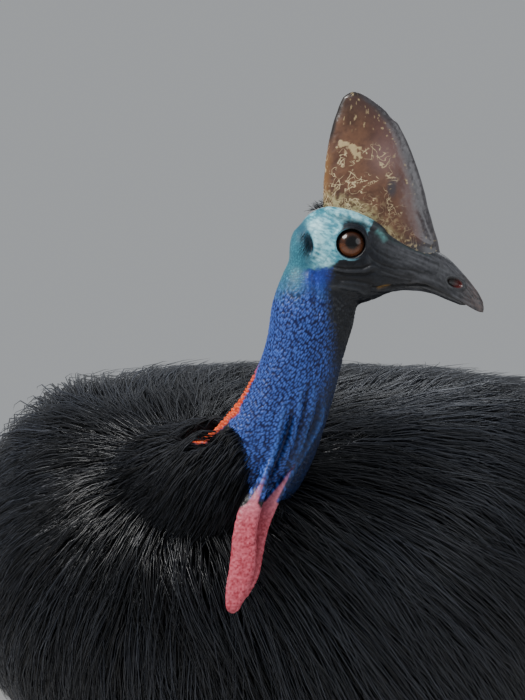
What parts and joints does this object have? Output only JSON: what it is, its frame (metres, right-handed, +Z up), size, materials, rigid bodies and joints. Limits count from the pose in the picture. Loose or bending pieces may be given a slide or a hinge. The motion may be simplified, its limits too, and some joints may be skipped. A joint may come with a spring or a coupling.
{
  "type": "cassowary",
  "caption": "Life-size standing cassowary with a tall casque, blue neck and hanging wattles, head turned to its left; a still museum-like model.",
  "frame": {"origin": "the floor point below the middle of the bird's bounding box", "axes": "+Z is up, the body faces -Y, and the bird's left side is +X"},
  "size_m": [0.746, 1.012, 1.303],
  "materials": {
    "plumage": "glossy black, hair-like plumage with a blue-grey sheen",
    "blue_skin": "bare, pebbled skin, pale turquoise on the crown and deep cobalt on the neck",
    "wattle_skin": "soft granular pink-red skin",
    "casque_horn": "brown horn with pale scratches and worn patches",
    "bill_horn": "dark grey horn, satin",
    "eye": "wet, amber brown with a black pupil",
    "leg_scales": "grey-brown scutes and small scales",
    "claw_horn": "dark horn, worn smooth",
    "quill": "bare black quills"
  },
  "bodies": {
    "root": {"bill_lower": "bill_horn", "bill_upper": "bill_horn", "casque": "casque_horn", "claw_inner_left": "claw_horn", "claw_inner_right": "claw_horn", "claw_middle_left": "claw_horn", "claw_middle_right": "claw_horn", "claw_outer_left": "claw_horn", "claw_outer_right": "claw_horn", "eye_left": "eye", "eye_right": "eye", "foot_left": "leg_scales", "foot_right": "leg_scales", "head": "blue_skin", "neck_base": "plumage", "neck_lower": "blue_skin", "neck_upper": "blue_skin", "shank_left": "leg_scales", "shank_right": "leg_scales", "tail": "plumage", "thigh_left": "plumage", "thigh_right": "plumage", "toe_inner_left": "leg_scales", "toe_inner_right": "leg_scales", "toe_middle_left": "leg_scales", "toe_middle_right": "leg_scales", "toe_outer_left": "leg_scales", "toe_outer_right": "leg_scales", "torso": "plumage", "wattle_left": "wattle_skin", "wattle_right": "wattle_skin", "wing_left": "quill", "wing_right": "quill"}
  },
  "joints": []
}
